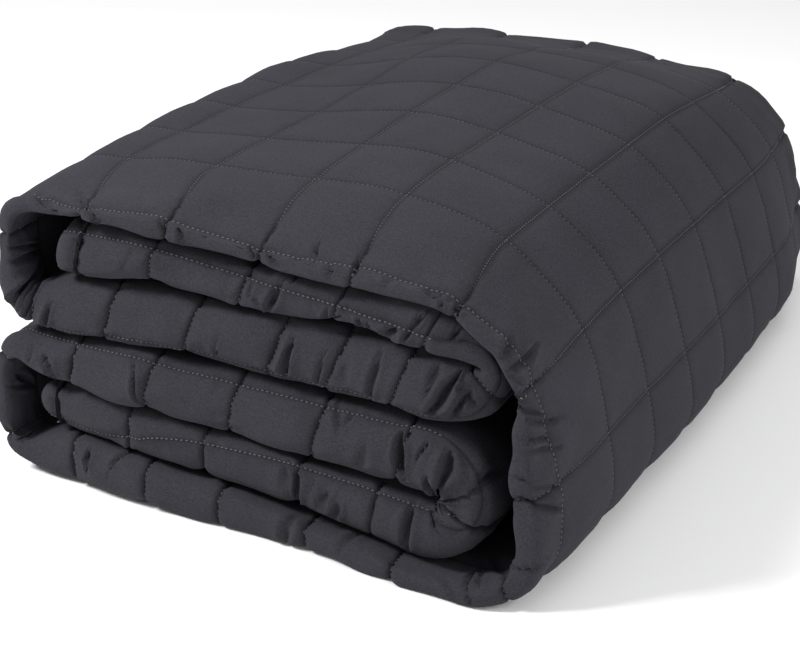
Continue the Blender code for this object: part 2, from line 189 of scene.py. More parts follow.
# Waves in the cloth: their length, the seed of their directions, and their depth on the taut faces
# and how much deeper they are at the folds.  Gathers lie across the seams that they run along.
Waves = namedtuple("Waves", "length seed flat folded")
LONG_GATHERS = Waves((0.026, 0.0085), 3, 0.00018, 0.00082)
CROSS_GATHERS = Waves((0.0085, 0.026), 5, 0.000045, 0.000205)
RUMPLES = Waves(0.075, 8, 0.0004, 0.0006)
WRINKLES = Waves(0.028, 9, 0.00015, 0.00070)
GATHER_REACH = 0.009  # distance from a seam in which its gathers fade
WAVE_COUNT = 14  # single waves in each field
WAVE_SPREAD = (0.7, 1.4)  # and the spread of their lengths

# Creases pressed or pulled into the cloth, as troughs, or as ridges where the depth is negative,
# in millimetres.  Both ends: distance along the band and distance over the cloth from the front
# fold, which is negative on the inner face.  Then depth, half width, and the bow of the middle.
MM = 0.001
Crease = namedtuple(
    "Crease", "name along over end_along end_over depth width bow", defaults=(0.0,)
)
CREASES = tuple(Crease(name, *(MM * size for size in sizes)) for name, *sizes in (
    ("top_corner", 622.7, 19.5, 638.5, -0.1, 4.1, 2.6, -0.8),
    ("top_corner_dent", 622.7, 7.9, 623.9, -3.5, 1.2, 1.2),
    ("top_pucker_a", 639.7, 29.0, 665.7, -2.2, 3.0, 1.8, -1.7),
    ("top_pucker_b", 658.6, 7.8, 670.4, -2.8, 2.1, 1.3, -2.8),
    ("top_dent", 687.5, 19.1, 693.8, 6.6, 1.0, 1.1),
    ("top_tuck_a", 704.8, 9.0, 710.9, -3.2, 1.6, 1.0),
    ("top_tuck_b", 717.7, 5.5, 724.3, -3.5, 3.0, 1.6, -0.2),
    ("top_tuck_c", 728.8, 19.7, 737.5, -2.6, 1.2, 1.1),
    ("top_tuck_d", 762.8, 10.3, 767.2, -0.8, 2.7, 1.4),
    ("top_lobe_a", 773.3, 10.4, 783.4, -1.1, 2.5, 1.4, -2.3),
    ("top_shade_a", 788.1, 12.2, 794.3, 4.7, 3.0, 2.6),
    ("top_slit", 795.8, 22.9, 803.5, 5.0, 4.7, 1.5, 0.5),
    ("top_lobe_b", 790.8, 12.9, 803.8, 3.6, 1.4, 1.2, -1.9),
    ("top_notch_a", 810.2, 10.5, 815.3, 1.6, 3.6, 2.2),
    ("top_notch_b", 823.8, 15.5, 828.8, 4.8, 3.6, 2.0),
    ("top_shade_b", 845.9, 10.0, 846.4, 0.5, 2.5, 2.0),
    ("top_pocket", 868.2, 10.4, 870.8, 1.9, 4.4, 4.6),
    ("top_pocket_edge", 870.8, 13.4, 878.1, -2.1, 2.7, 1.3),
    ("top_tuck_e", 883.3, 7.7, 887.6, -0.3, 4.1, 1.5),
    ("wrap_dent_a", 913.7, 17.8, 919.1, 2.8, 5.9, 2.6),
    ("wrap_dent_b", 928.6, 32.5, 926.6, 2.6, 5.9, 2.2, 1.1),
    ("wrap_tuck_a", 929.6, 1.5, 939.4, 9.0, 2.7, 1.8),
    ("wrap_wrinkle_a", 948.3, -2.8, 960.7, 19.0, 3.9, 1.7),
    ("wrap_wrinkle_b", 957.2, 5.1, 970.5, 40.8, 4.6, 1.5, -2.3),
    ("wrap_wrinkle_c", 966.6, 1.3, 977.2, 28.3, 4.3, 1.2),
    ("wrap_wrinkle_d", 974.4, 5.2, 984.2, 32.2, 3.9, 1.2),
    ("wrap_wrinkle_e", 986.4, -5.5, 991.4, 3.1, 2.3, 0.9),
    ("wrap_wrinkle_f", 994.0, 5.9, 1001.4, 22.1, 2.1, 1.5),
    ("wrap_wrinkle_g", 999.8, -0.7, 1015.0, 25.3, 4.1, 1.6, -0.6),
    ("wrap_gather", 1074.9, -45.7, 1033.6, 17.4, 3.0, 1.1, 5.6),
    ("wrap_hollow", 1083.4, -41.0, 1055.4, -11.7, 3.0, 3.0, -0.2),
    ("wrap_foot", 1085.4, -34.3, 1078.4, -0.4, 4.2, 1.5, -3.5),
    ("wrap_foot_dent", 1084.7, -28.9, 1075.1, -7.7, 2.8, 1.6),
    ("foot_tuck", 1097.5, -10.9, 1086.2, 0.1, 3.0, 1.8),
    ("end_ridge", 36.1, 5.9, 26.1, -8.0, -1.9, 0.9),
    ("end_tuck_a", 80.2, 12.2, 81.2, 1.3, 1.7, 1.1),
    ("end_tuck_b", 108.4, 4.9, 109.7, -3.8, 1.5, 1.2),
    ("end_lobe", 110.6, -2.8, 122.7, -11.7, 1.7, 1.2),
    ("end_wedge", 124.3, 6.2, 122.4, -11.9, 5.7, 2.3),
    ("end_tuck_c", 130.4, 17.9, 130.3, 6.9, 2.5, 1.4),
    ("end_dent_a", 160.3, -7.9, 164.2, -3.0, 2.3, 1.7),
    ("end_notch_a", 155.1, -0.7, 156.6, -11.5, 2.3, 1.4),
    ("end_notch_b", 173.9, -2.0, 179.7, -10.9, 3.4, 1.4),
    ("end_dent_b", 179.7, -2.8, 183.8, -10.4, 2.1, 1.6),
    ("end_pocket", 196.3, -1.6, 194.7, -11.7, 5.3, 3.8),
    ("end_fold", 209.8, 6.4, 204.9, -7.4, 4.9, 1.7, -1.0),
    ("end_tuck_d", 229.4, 6.4, 227.1, -0.4, 3.2, 1.4),
    ("middle_corner", 533.4, -2.1, 537.0, 11.1, 4.6, 1.9),
    ("middle_tuck_a", 424.1, -0.4, 421.7, 17.1, 2.5, 1.3),
    ("middle_wedge", 382.7, -7.2, 379.7, 17.8, 6.1, 2.2, 0.6),
    ("middle_seam", 363.6, -6.0, 358.7, 14.3, 2.8, 1.3),
    ("middle_fold_a", 332.5, -15.7, 326.1, 17.5, 3.2, 2.1),
    ("middle_dent", 348.4, -2.5, 344.4, 7.0, 1.5, 3.6),
    ("nose_shade", 298.6, -16.9, 296.1, -0.5, 2.7, 2.6),
    ("nose_fold_a", 280.6, -12.4, 292.4, 9.4, 8.0, 2.6, -1.4),
    ("nose_fold_b", 273.3, -0.5, 281.5, 9.9, 4.9, 1.5, -3.4),
    ("nose_ridge", 274.6, -4.0, 283.6, 11.8, -2.7, 1.2, -3.1),
    ("nose_dent", 274.7, 0.0, 272.8, 3.7, 3.0, 1.4),
    ("under_tuck_a", 1466.9, 4.6, 1467.2, -4.5, 2.1, 1.2),
    ("under_wedge", 1474.2, 1.5, 1485.7, -8.4, 4.6, 1.6, 1.1),
    ("under_curve", 1531.9, 14.8, 1545.6, -14.6, 3.2, 1.0, 1.2),
    ("under_dent_a", 1656.3, 24.4, 1663.7, 2.8, 2.5, 2.3),
    ("under_fold_a", 1668.8, 23.2, 1664.6, 3.8, 2.3, 1.4),
    ("under_dent_b", 1681.3, 1.9, 1681.9, -10.6, 1.9, 3.6),
    ("under_seam", 1698.2, 14.0, 1707.8, -6.4, 6.1, 2.2, -2.0),
    ("under_fold_b", 1715.9, 14.5, 1711.6, 1.8, 3.0, 1.2),
    ("under_wedge_b", 1726.0, 13.1, 1731.2, -6.8, 7.2, 2.6),
    ("under_pit", 1720.6, -4.4, 1738.0, -27.3, 6.8, 2.8),
    ("low_seam", 1868.3, -14.4, 1859.7, 10.5, 4.6, 2.0, 3.5),
    ("low_shade", 1869.8, -9.9, 1864.6, 1.1, 3.4, 3.4),
    ("low_fold", 1851.5, -5.4, 1832.8, 6.5, 4.2, 2.6),
    ("low_ridge", 1848.0, -10.2, 1829.2, 6.9, -2.1, 1.3),
    ("low_dent", 1879.2, -14.4, 1876.5, -7.3, 1.5, 1.4),
    ("low_side", 1791.4, -21.0, 1790.4, 9.1, 6.1, 2.6),
    ("foot_wedge", 1327.4, -11.4, 1326.8, -0.1, 5.3, 1.7),
    ("foot_curve", 1311.2, -1.7, 1300.3, -21.2, 4.2, 1.4, 1.5),
    ("foot_dent_a", 1192.5, -12.9, 1195.6, 7.3, 3.0, 3.6),
    ("foot_dent_b", 1159.1, -1.0, 1154.3, -21.8, 2.1, 2.4),
    ("low_nose_pit", 1724.7, -6.4, 1773.2, -34.6, 8.5, 3.6),
    ("low_nose_fold_a", 1753.4, -28.2, 1742.9, 2.5, 4.2, 1.4),
    ("low_nose_fold_b", 1742.9, 2.5, 1740.6, 30.9, 4.6, 1.4, 1.8),
    ("low_nose_fold_c", 1776.4, -54.2, 1755.3, -32.6, 3.4, 1.9),
    ("low_nose_fold_d", 1751.1, -19.7, 1758.2, 1.1, 4.2, 1.3),
    ("low_nose_fold_e", 1758.2, 1.1, 1758.7, 26.1, 4.2, 1.4, 0.2),
    ("low_nose_fold_f", 1777.4, -19.6, 1770.5, -0.2, 3.0, 1.0),
    ("hollow_line_a", 591.1, -3.2, 582.6, -36.8, 3.8, 1.3),
    ("hollow_fold_a", 582.2, -3.2, 580.6, -35.5, 4.2, 2.2),
    ("hollow_fold_b", 557.6, 3.3, 573.2, -30.9, 8.0, 3.2),
    ("hollow_line_b", 550.5, 6.9, 543.5, -32.2, 5.7, 1.6),
    ("low_hollow_a", 1422.2, -6.2, 1411.4, -32.2, 3.8, 1.2),
    ("low_hollow_b", 1425.9, -15.4, 1413.8, -31.2, 3.8, 2.4),
    ("low_hollow_c", 1385.0, -3.7, 1379.9, -30.5, 4.2, 1.3),
))

TIP_WIDTH = 0.45  # share of its width that a crease keeps at its tips
TIP_REACH = 1.5  # how slowly its depth fades towards them
BULGE_PLACE = 1.9  # the bulges beside it: their place and width in its widths,
BULGE_WIDTH = 1.1
BULGE_RISE = 0.35  # and their height in its depths
SEAM_HOLD = 0.75  # share of a crease's depth that a stitched cross seam takes away
SEAM_HOLD_WIDTH = 0.0026  # distance from the seam in which this fades

STITCH_PITCH = 0.0030
STITCH_LENGTH = 0.0020
STITCH_RADIUS = 0.00042
STITCH_SIDES = 5
STITCH_SHOULDER = 0.28  # a stitch narrows to its tips beyond this share of its length
STITCH_SPAN = 0.4  # its direction is taken over this share to either side
STITCH_LIFT = 0.0002  # how far a stitch's middle lies above the cloth at the folds
STITCH_SUNK = -0.0002  # and on the taut faces, where the thread is pulled in

CLOTH_DARK = (0.0181, 0.0175, 0.0218, 1.0)
CLOTH_LIGHT = (0.0393, 0.0382, 0.0472, 1.0)
THREAD = (0.0700, 0.0690, 0.0770, 1.0)
PATTERN_SHARES = (0.90, 0.25, 0.12)  # of fibre grain, uneven tone and weave, in the cloth's colour
PATTERN_RANGE = (0.345, 0.865)  # sums of these that give the darkest and the lightest colour
FIBRES = {"Scale": 1000.0, "Detail": 2.0}
UNEVEN_TONE = {"Scale": 26.0, "Detail": 3.0}
YARN = {"Scale": 330.0, "Distortion": 0.6, "Detail": 1.0}
WEAVE_BUMP = {"Strength": 0.35, "Distance": 0.00025}
THREAD_TWIST = {"Scale": 2500.0, "Detail": 1.0}
THREAD_DARK = 0.6  # the thread's darkest share of its colour
# painted shade in the seams: the shadow of their grooves painted into the colour, and partly the
# dark needle holes of their stitching
SEAM_SHADE = 0.65  # how much of SEAM_SHADE_TINT the cloth takes on in its seams
SEAM_SHADE_WIDTH = 0.0011
SEAM_SHADE_TINT = (0.25, 0.25, 0.27, 1.0)
CLOTH_LOOK = {
    "Roughness": 0.88, "Specular IOR Level": 0.08,
    "Sheen Weight": 0.03, "Sheen Roughness": 0.60, "Sheen Tint": (0.85, 0.85, 0.95, 1.0),
}
THREAD_LOOK = {"Roughness": 0.6, "Sheen Weight": 0.1}
FLOOR_LOOK = {"Roughness": 0.9}
FLOOR_TINTS = (0.95, 0.97)
FLOOR_GRAIN = 60.0
FLOOR_REACH = 6.0
FLOOR_DROP = 0.0002  # how far the floor lies below the blanket, so that they don't flicker

Light = namedtuple("Light", "name place size power")
LIGHTS = (
    Light("overhead", (0.30, 0.50, 1.55), 1.3, 6.0),
    Light("left_key", (-1.00, -0.85, 1.20), 0.4, 31.0),
    Light("right_fill", (1.60, -0.60, 1.00), 1.2, 19.0),
)
LIGHT_AIM = (0.0, 0.0, 0.08)
SKY_STRENGTH = 0.43
CAMERA_PLACE = (0.4853, -1.0808, 0.5492)
CAMERA_HEADING = (-0.39535, 0.82589, -0.40201)
CAMERA_LENS = 90.0  # in mm, on a sensor this wide
CAMERA_SENSOR = 36.0


# -------- the path of the band
def smooth_step(value):
    """0 below 0, 1 above 1, and a soft S in between."""
    value = np.clip(value, 0.0, 1.0)
    return value * value * (3.0 - 2.0 * value)


def through_stations(values, x):
    """The parabola through three values at STATIONS, held level outside them."""
    x = min(max(x, STATIONS[0]), STATIONS[-1])
    total = 0.0
    for place, value in zip(STATIONS, values):
        others = [other for other in STATIONS if other != place]
        total += value * math.prod((x - other) / (place - other) for other in others)
    return total


def layer_point(index, x):
    """Middle line of a layer at x, stacked on the layers below it."""
    height = 0.0
    for layer in LAYERS[:index]:
        height += through_stations(layer.thick, x) + LAYER_GAP
    layer = LAYERS[index]
    half = through_stations(layer.thick, x) / 2
    share = (x - STATIONS[0]) / (STATIONS[2] - STATIONS[0])
    front = layer.front_left + (layer.front_right - layer.front_left) * share
    pinch = through_stations(layer.pinch, x)
    stitch = through_stations(layer.stitch, x)
    return Point(x, height + half, half, front, pinch, stitch, layer.lean)


def layer_run(index, start, end):
    """A layer from x = start to x = end."""
    count = max(2, round(abs(end - start) / PATH_STEP))
    return [layer_point(index, start + (end - start) * i / count) for i in range(count + 1)]


def fold_turn(fold, first, last):
    """A full half turn from the last point of one layer to the first point of the next."""
    points = []
    reach = fold.apex_x - fold.meets_x
    for i in range(1, FOLD_POINTS):
        angle = math.pi * i / FOLD_POINTS
        side, keep = (first, fold.keep_in) if angle < math.pi / 2 else (last, fold.keep_out)
        share = math.sin(angle) ** fold.fullness
        half = fold.half * share ** keep + side.half * (1 - share ** keep)
        front = fold.front * share + side.front * (1 - share)
        pinch = fold.pinch * share + side.pinch * (1 - share)
        stitch = fold.stitch * share + side.stitch * (1 - share)
        lean = side.lean * (1 - share)
        thinned = math.copysign(side.half - half, side.z - fold.apex_z)
        rise = side.z - fold.apex_z + fold.open * thinned
        z = fold.apex_z + rise * abs(math.cos(angle)) ** fold.fullness
        points.append(Point(fold.meets_x + reach * share, z, half, front, pinch, stitch, lean))
    return points


def curve_through(knots):
    """A Catmull-Rom curve from the second knot to the last but one."""
    knots = np.array(knots)
    points = []
    for a, b, c, d in zip(knots, knots[1:], knots[2:], knots[3:]):
        for t in np.arange(CURVE_POINTS) / CURVE_POINTS:
            curve = 2 * b + (c - a) * t + (2 * a - 5 * b + 4 * c - d) * t ** 2
            points.append(Point(*(0.5 * (curve + (3 * b - a - 3 * c + d) * t ** 3))))
    return points


def band_path():
    """Points on the middle line of the band, from its upper end to its lower end."""
    upper_end_half = layer_point(UPPER_END, UPPER_END_X).half
    lower_end_half = layer_point(LOWER_END, LOWER_END_X).half
    path = layer_run(UPPER_END, UPPER_END_X + upper_end_half, UPPER_NOSE.meets_x)
    path += fold_turn(UPPER_NOSE, path[-1], layer_point(UPPER_MIDDLE, UPPER_NOSE.meets_x))
    path += layer_run(UPPER_MIDDLE, UPPER_NOSE.meets_x, UPPER_LEFT.meets_x)
    path += fold_turn(UPPER_LEFT, path[-1], layer_point(TOP, UPPER_LEFT.meets_x))
    top_end = RIGHT_WRAP[0].x - WRAP_LEAD
    bottom_start = RIGHT_WRAP[-1].x - WRAP_LEAD
    path += layer_run(TOP, UPPER_LEFT.meets_x, top_end)
    knots = [layer_point(TOP, top_end - WRAP_LEAD), path[-1]]
    knots += RIGHT_WRAP
    knots += [layer_point(BOTTOM, bottom_start), layer_point(BOTTOM, bottom_start - WRAP_LEAD)]
    path += curve_through(knots)[1:]
    path += layer_run(BOTTOM, bottom_start, LOWER_LEFT.meets_x)
    path += fold_turn(LOWER_LEFT, path[-1], layer_point(LOWER_MIDDLE, LOWER_LEFT.meets_x))
    path += layer_run(LOWER_MIDDLE, LOWER_LEFT.meets_x, LOWER_NOSE.meets_x)
    path += fold_turn(LOWER_NOSE, path[-1], layer_point(LOWER_END, LOWER_NOSE.meets_x))
    path += layer_run(LOWER_END, LOWER_NOSE.meets_x, LOWER_END_X + lower_end_half)
    return path


class Path:
    """The smoothed middle line, with its fields at any distance along it."""

    def __init__(self):
        knots = np.array(band_path())
        reached = self.lengths(knots)
        count = round(reached[-1] / PATH_STEP)
        even = np.linspace(0.0, reached[-1], count + 1)
        values = np.column_stack([np.interp(even, reached, column) for column in knots.T])
        for _ in range(SMOOTHING):
            values[1:-1] = (values[:-2] + 2 * values[1:-1] + values[2:]) / 4
        self.values = values
        self.length = self.lengths(values)
        self.total = self.length[-1]

    @staticmethod
    def lengths(values):
        """Distance along the path at each of its points."""
        steps = np.hypot(np.diff(values[:, 0]), np.diff(values[:, 1]))
        return np.concatenate([[0.0], np.cumsum(steps)])

    def at(self, distance):
        """x, z, half, front, pinch, stitch and lean at these distances, as columns."""
        return np.column_stack([np.interp(distance, self.length, c) for c in self.values.T])

    def across(self, distance):
        """Unit vectors in X and Z that point to the outer face."""
        before = self.at(np.maximum(distance - ACROSS_REACH, 0.0))
        after = self.at(np.minimum(distance + ACROSS_REACH, self.total))
        run = after[:, :2] - before[:, :2]
        run /= np.linalg.norm(run, axis=1)[:, None]
        return np.column_stack([-run[:, 1], run[:, 0]])

    def nearest(self, x, z):
        """Distance along the path of its point nearest to (x, z)."""
        gap = np.hypot(self.values[:, 0] - x, self.values[:, 1] - z)
        return self.length[np.argmin(gap)]

    def place(self, index, x):
        """Distance along the path of this layer at x."""
        return self.nearest(*layer_point(index, x)[:2])

    def pulls(self, along):
        """FRONT_PULLS at these distances along the band, as columns right and out."""
        stops = [self.nearest(pull.x, pull.z) for pull in FRONT_PULLS]
        return [
            np.interp(along, stops, [getattr(pull, name) for pull in FRONT_PULLS])[:, None]
            for name in ("right", "out")
        ]

    def seams(self):
        """Where the long seams cross: those of the table, and evenly spaced ones in turns."""
        anchored = sorted(
            self.place(index, x) for index, layer in enumerate(LAYERS) for x in layer.seams
        )
        seams = [anchored[0]]
        for distance in anchored[1:]:
            start = seams[-1]
            squares = max(1, round((distance - start) / TURN_SQUARE))
            seams += [start + (distance - start) * i / squares for i in range(1, squares + 1)]
        return np.array(seams)


# -------- sections and rows
def section_places(seams, total):
    """Distances of the fine sections, crowded towards the seams, in whole blocks."""
    stops = np.concatenate([[0.0], seams, [total]])
    places = []
    for start, end in zip(stops, stops[1:]):
        steps = BLOCK * max(1, round((end - start) / (BLOCK * FINE_STEP)))
        t = np.arange(steps) / steps
        t = t - CROWDING * np.sin(2 * math.pi * t) / (2 * math.pi)
        places.extend(start + (end - start) * t)
    places.append(total)
    return np.array(places)


def flat_places(full):
    """Distances behind the front fold of a face's rows between its two rounded folds."""
    if full:
        squares = (seam + share for seam in range(1, CROSS_SEAMS - 1) for share in SQUARE_ROWS)
        places = [*SECOND_ROWS, *(FRONT_SEAM + square * SQUARE for square in squares), *LAST_ROWS]
    else:
        places = [FIRST_SPARSE_ROW, *(FRONT_SEAM + SQUARE * i / 2 for i in SPARSE_ROWS)]
    return [*FRONT_ROWS, *places, *BACK_ROWS]


def ring_rows():
    """Distance over the cloth of each row: front fold, outer face, back fold, inner face."""
    front = [FOLD_RADIUS * math.radians(degrees) for degrees in FRONT_ANGLES]
    back = [OVER_ALL - FOLD_RADIUS * math.radians(degrees) for degrees in reversed(BACK_ANGLES)]
    faces = []
    for full in (True, False):
        faces.append(front + [QUARTER + place - ROUND_DEPTH for place in flat_places(full)] + back)
    outer, inner = faces
    return np.array([0.0] + outer + [OVER_ALL] + [-over for over in reversed(inner)])


def front_pinch(pinch, behind):
    """Share of the thickness left this far behind the front fold."""
    front = np.sin(np.clip(behind / PINCH_REACH, 0.0, 1.0) * math.pi / 2)
    back = smooth_step((DEPTH - behind) / BACK_PINCH_REACH)
    back = BACK_FULLNESS + (1 - BACK_FULLNESS) * back
    return pinch + (1 - pinch) * front * back


def warped(x, y, z):
    """The slow unevenness of the stack; the surface below stays level."""
    moved = {"x": 0.0, "y": 0.0, "z": 0.0}
    for warp in WARPS:
        wave = np.sin(warp.along_x * x + warp.along_y * y + warp.phase)
        moved[warp.axis] = moved[warp.axis] + warp.amount * wave
    behind = y + DEPTH / 2
    drop = BACK_DROP * smooth_step((behind - BACK_DROP_FROM) / (DEPTH - BACK_DROP_FROM))
    height = 1 + moved["z"] - drop * (1 - (1 - RIGHT_DROP) * smooth_step(x / RIGHT_FROM))
    low = 1 - smooth_step(z / BULGE_HEIGHT)
    begun = smooth_step((behind - BULGE_FROM) / BULGE_GROWTH)
    ended = smooth_step((DEPTH - behind) / BULGE_END)
    at_side = smooth_step((x / RIGHT_FROM - BULGE_SIDE) / (1 - BULGE_SIDE))
    right = moved["x"] * z / WARP_HEIGHT + RIGHT_BULGE * at_side * begun * ended * low
    return x + right, y + moved["y"], z * height


def with_ends(path, places):
    """Fields, outer directions, scale and distance of all sections, rounded ends included."""
    angles = np.radians(np.linspace(0.0, LAST_RING, END_RINGS + 1)[1:])
    here, across = path.at(places), path.across(places)
    parts = []
    for end, direction in ((0, -1.0), (-1, 1.0)):
        tip, out = here[end], across[end]
        rings = np.tile(tip, (END_RINGS, 1))
        reach = tip[2] * np.sin(angles) ** END_CORNERS
        rings[:, 0] += out[1] * direction * reach
        rings[:, 1] -= out[0] * direction * reach
        rings[:, 3] -= END_ROUND * (1 - np.cos(angles))
        scale = np.cos(angles) ** END_CORNERS
        outs = np.tile(out, (END_RINGS, 1))
        parts.append((rings, outs, scale, places[end] + direction * tip[2] * angles))
    first, last = parts
    inner = (here, across, np.ones(len(places)), places)
    return [np.concatenate([a[::-1], b, c]) for a, b, c in zip(first, inner, last)]


def fold_profile(over, half, round_depth):
    """(distance behind the fold, share of the half thickness) this far over the cloth from it."""
    quarter = (round_depth + half) * math.pi / 4
    angle = np.clip(over / quarter, 0.0, 1.0) * math.pi / 2
    behind = round_depth * (1 - np.cos(angle) ** CORNERS)
    return behind + np.maximum(over - quarter, 0.0), np.sin(angle) ** CORNERS


# Points [section, row], and where each lies on the cloth: distance along the band of each section,
# the row's distance over a thick layer, its distance over this cloth, and its depth behind the
# front fold.  scale is the share of the thickness that is left in each section.
Grid = namedtuple("Grid", "points along rows over behind scale")


def smooth_band(path, places, rows):
    """The band before it is quilted."""
    here, across, scale, along = with_ends(path, places)
    x, z, half, front, pinch, stitch, lean = (column[:, None] for column in here.T)
    scaled = half * scale[:, None]
    front_half = scaled * front_pinch(pinch, 0.0)
    back_half = scaled * front_pinch(pinch, DEPTH)
    front_round = np.maximum(front_half, LEAST_ROUND)
    back_round = np.maximum(back_half, LEAST_ROUND)
    # Rows shift over the front fold, so that the first cross seam lies where the fields say.
    reach = FIRST_SEAM + SQUARE
    whole = (front_round + front_half) * math.pi / 4 + FRONT_SEAM + SQUARE - front_round
    over = np.where(
        rows < FIRST_SEAM,
        -whole + (rows + reach) / (FIRST_SEAM + reach) * (stitch + whole),
        stitch + (rows - FIRST_SEAM) / SQUARE * (whole - stitch),
    )
    near = np.abs(rows) < reach
    behind, share = fold_profile(np.abs(over), front_half, front_round)
    flat = ROUND_DEPTH + np.abs(rows) - QUARTER
    from_back, back_share = fold_profile(OVER_ALL - np.abs(rows), back_half, back_round)
    # A thin back fold takes less cloth; this evens out behind the last cross seam.
    late = smooth_step((flat - FRONT_SEAM - (CROSS_SEAMS - 1) * SQUARE) / BACK_EVENING)
    behind = np.where(near, behind, flat + (DEPTH - from_back - flat) * late)
    share = np.where(near, share, back_share)
    side = np.where(near, np.sign(over), np.sign(rows))
    over = np.where(near, over, rows + np.sign(rows) * (whole - reach))
    kept = front_pinch(pinch, behind)
    offset = side * share * scaled * kept - scaled * (1 - kept)
    slide = (front - DEPTH / 2) * (1 - smooth_step(behind / FRONT_SLIDE))
    y = behind - DEPTH / 2 - slide
    above = across[:, 1:] * offset / half * (1 - smooth_step(behind / LEAN_DEPTH))
    right, out = (amount * (1 - smooth_step(behind / PULL_DEPTH)) for amount in path.pulls(along))
    offset = offset + out
    x, y, z = warped(
        x + across[:, :1] * offset + across[:, 1:] * right + lean * above,
        y + LEAN_BACK * lean * above,
        z + across[:, 1:] * offset - across[:, :1] * right,
    )
    points = np.stack([x - MIDDLE[0], y - MIDDLE[1], z], axis=-1)
    return Grid(points, along, rows, over, behind, scale)


def outward(points):
    """Unit normals of a grid of points [section, row] whose rows close into rings."""
    along = np.gradient(points, axis=0)
    over = np.roll(points, -1, axis=1) - np.roll(points, 1, axis=1)
    normals = np.cross(along, over)
    size = np.linalg.norm(normals, axis=-1, keepdims=True)
    return normals / np.maximum(size, 1e-12)


# -------- relief
def waves(places, kind):
    """A smooth random field of about -1 to 1 over places [..., axes]."""
    random = np.random.default_rng(kind.seed)
    axes = places.shape[-1]
    heading = random.normal(size=(WAVE_COUNT, axes))
    heading /= np.linalg.norm(heading, axis=1)[:, None]
    length = np.broadcast_to(kind.length, axes) * random.uniform(*WAVE_SPREAD, (WAVE_COUNT, 1))
    phase = random.uniform(0.0, 2 * math.pi, WAVE_COUNT)
    field = np.zeros(places.shape[:-1])
    for turn, start in zip(heading * 2 * math.pi / length, phase):
        field += np.sin(places @ turn + start)
    return field / math.sqrt(WAVE_COUNT)


def distance_to(values, marks):
    """Distance of each value to the nearest of the marks."""
    return np.min(np.abs(np.asarray(values)[:, None] - np.asarray(marks)[None, :]), axis=1)


def quilted(quilting, gap):
    """How far the cloth is pulled in at this distance from a seam."""
    groove = quilting.groove * np.exp(-gap / quilting.groove_width)
    return groove + quilting.dome * np.exp(-((gap / quilting.dome_width) ** DOME_POWER))


def crease_relief(crease, along, over):
    """How far one crease pulls the cloth in, with a soft bulge on either side of it."""
    start = np.array([crease.along, crease.over])
    end = np.array([crease.end_along, crease.end_over])
    run = end - start
    length = np.linalg.norm(run)
    run /= length
    x, y = along - start[0], over - start[1]
    t = (x * run[0] + y * run[1]) / length
    bow = crease.bow * 4 * t * (1 - t)
    side = np.abs(x * run[1] - y * run[0] + bow)
    past = np.maximum(np.maximum(-t, t - 1), 0.0) * length
    to_tip = np.abs(2 * t - 1)
    width = crease.width * (TIP_WIDTH + (1 - TIP_WIDTH) * np.clip(1 - to_tip, 0, 1))
    trough = np.exp(-((side / width) ** 2))
    bulge = np.exp(-(((side - BULGE_PLACE * width) / (BULGE_WIDTH * width)) ** 2))
    fade = np.exp(-((past / crease.width) ** 2)) * smooth_step(TIP_REACH - to_tip)
    return crease.depth * (trough - BULGE_RISE * bulge) * fade


def relief(grid, seams, stitched):
    """How far each point of the grid lies in from the smooth band, and how near a seam it is.

    stitched: the ranges along the band in which the first cross seam holds the cloth level.
    """
    along, over = grid.along[:, None], grid.over
    from_fold = np.minimum(grid.behind, DEPTH - grid.behind)
    at_fold = 1 - smooth_step((from_fold - FOLD_END) / FOLD_FADE)
    long_gap = distance_to(grid.along, seams)[:, None]
    cross_gap = distance_to(np.abs(grid.rows), CROSS_LINES)[None, :]
    on_top, in_fold = quilted(TOP_QUILTING, long_gap), quilted(FRONT_QUILTING, long_gap)
    pulled = (on_top + (in_fold - on_top) * at_fold, quilted(TOP_QUILTING, cross_gap))
    depth = np.maximum(*pulled) + CROSSING * np.minimum(*pulled)
    places = np.stack(np.broadcast_arrays(along, over), axis=-1)
    for kind, spots, gap in (
        (LONG_GATHERS, places, long_gap), (CROSS_GATHERS, places, cross_gap),
        (RUMPLES, grid.points, 0.0), (WRINKLES, grid.points, 0.0),
    ):
        wave = waves(spots, kind) * np.exp(-gap / GATHER_REACH)
        depth = depth + wave * (kind.flat + kind.folded * at_fold)
    creased = sum(crease_relief(crease, along, over) for crease in CREASES)
    held = np.any([(along > start) & (along < end) for start, end in stitched], axis=0)
    depth = depth + creased * (1 - SEAM_HOLD * held * np.exp(-((cross_gap / SEAM_HOLD_WIDTH) ** 2)))
    # nearness to a seam, which darkens the cloth's colour: painted shade of the seam grooves, and
    # partly their needle holes
    seam = np.exp(-np.minimum(*np.broadcast_arrays(long_gap, cross_gap)) / SEAM_SHADE_WIDTH)
    return depth * grid.scale[:, None], seam


def quilted_band(path, seams):
    """The whole band as a grid of points, with its normals and how near a seam each point is."""
    grid = smooth_band(path, section_places(seams, path.total), ring_rows())
    depth, seam = relief(grid, seams, between_noses(path))
    normals = outward(grid.points)
    moved = grid.points - normals * depth[..., None]
    moved[..., 2] = np.maximum(moved[..., 2], 0.0)
    return grid._replace(points=moved), normals, seam


# -------- the mesh of the cloth
def seen_range(path):
    """Distances along the band between which its outer face shows from outside."""
    start = path.place(UPPER_MIDDLE, UPPER_LEFT.meets_x)
    return start, path.place(LOWER_MIDDLE, LOWER_LEFT.meets_x)


